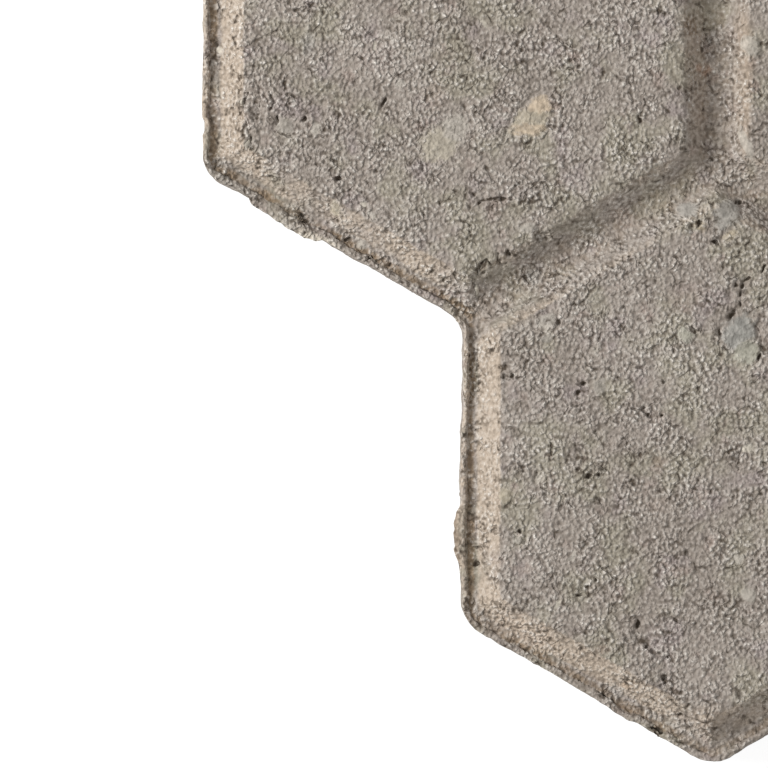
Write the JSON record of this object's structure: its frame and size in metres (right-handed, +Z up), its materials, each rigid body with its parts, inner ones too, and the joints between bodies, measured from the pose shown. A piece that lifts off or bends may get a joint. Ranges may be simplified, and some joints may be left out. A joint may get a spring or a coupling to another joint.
{
  "type": "concrete paving stone",
  "caption": "Cast concrete paving stone shaped as joined hexagons, with bevelled pads on top, V-shaped dummy joints between them and straight sides that nest with its neighbours.",
  "frame": {"origin": "the point where the hexagons meet, on the flat bedding face that the stone lies on", "axes": "+Z up through the wear face; seen from above two hexagons stand side by side at +Y and the other is at -Y"},
  "size_m": [0.2, 0.2002, 0.06],
  "materials": {
    "concrete": "matt, sandy, warm grey with fine grain and small pits"
  },
  "bodies": {
    "root": {"paving_stone": "concrete"}
  },
  "joints": []
}
